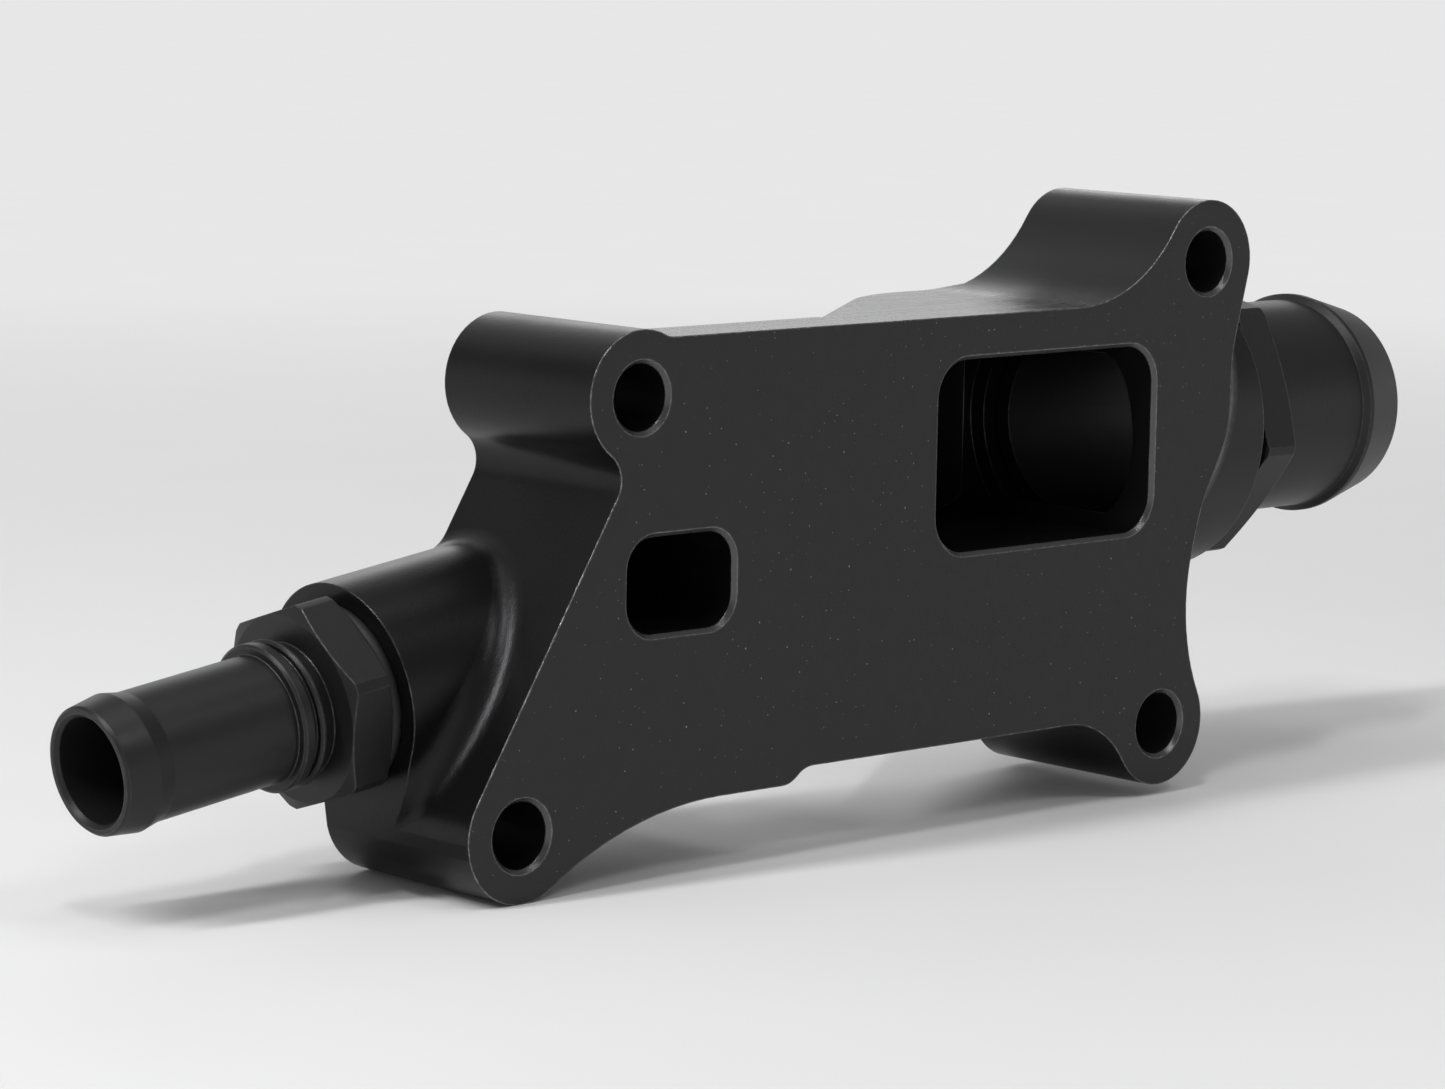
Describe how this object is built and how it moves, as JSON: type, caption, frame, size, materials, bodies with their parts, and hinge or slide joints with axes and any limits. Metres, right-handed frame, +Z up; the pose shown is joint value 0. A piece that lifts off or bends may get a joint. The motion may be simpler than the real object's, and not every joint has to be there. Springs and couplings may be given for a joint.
{
  "type": "coolant flange",
  "caption": "Black engine coolant flange: flat plate with bolt bosses, rectangular ports in the mating face, and a screwed barbed hose end on each side.",
  "frame": {"origin": "on the mating face, at the middle of the bolt holes' centres (mean of their positions)", "axes": "+X along the flange towards the large hose end, +Y from the mating face to the rear, +Z up as in the picture"},
  "size_m": [0.237, 0.0464, 0.0868],
  "materials": {
    "anodised_housing": "satin black anodised, fine blasted texture, smoother on the mating face",
    "anodised_fitting": "satin black anodised, turned",
    "seal_rubber": "matte black rubber"
  },
  "bodies": {
    "root": {"housing": "anodised_housing", "small_hose_fitting": "anodised_fitting", "small_fitting_o_ring": "seal_rubber", "large_hose_fitting": "anodised_fitting", "large_fitting_o_ring": "seal_rubber"}
  },
  "joints": []
}
